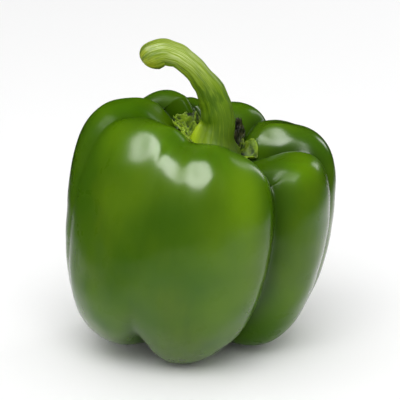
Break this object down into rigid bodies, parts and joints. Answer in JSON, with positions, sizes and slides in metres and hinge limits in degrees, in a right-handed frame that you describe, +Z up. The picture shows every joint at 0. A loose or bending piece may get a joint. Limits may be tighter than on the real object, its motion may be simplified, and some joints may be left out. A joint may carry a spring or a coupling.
{
  "type": "bell pepper",
  "caption": "Large green bell pepper standing upright on its lobes, with a ruffled calyx in the pit at its top and a curved stem.",
  "frame": {"origin": "middle of the footprint, on the surface the pepper stands on", "axes": "+Z up towards the stem, +Y away from the broad front lobe, +X towards the two narrow lobes at the right of it"},
  "size_m": [0.0918, 0.0908, 0.1082],
  "materials": {
    "fruit_skin": "gloss, waxy green skin, yellower over the shoulders and duller towards the feet",
    "calyx_tissue": "matte, crinkled yellow-green leaf tissue, dry and brown in places",
    "stem_skin": "satin light green with darker lengthwise streaks, yellower at the tip"
  },
  "bodies": {
    "root": {"fruit": "fruit_skin", "calyx": "calyx_tissue", "stem": "stem_skin"}
  },
  "joints": []
}
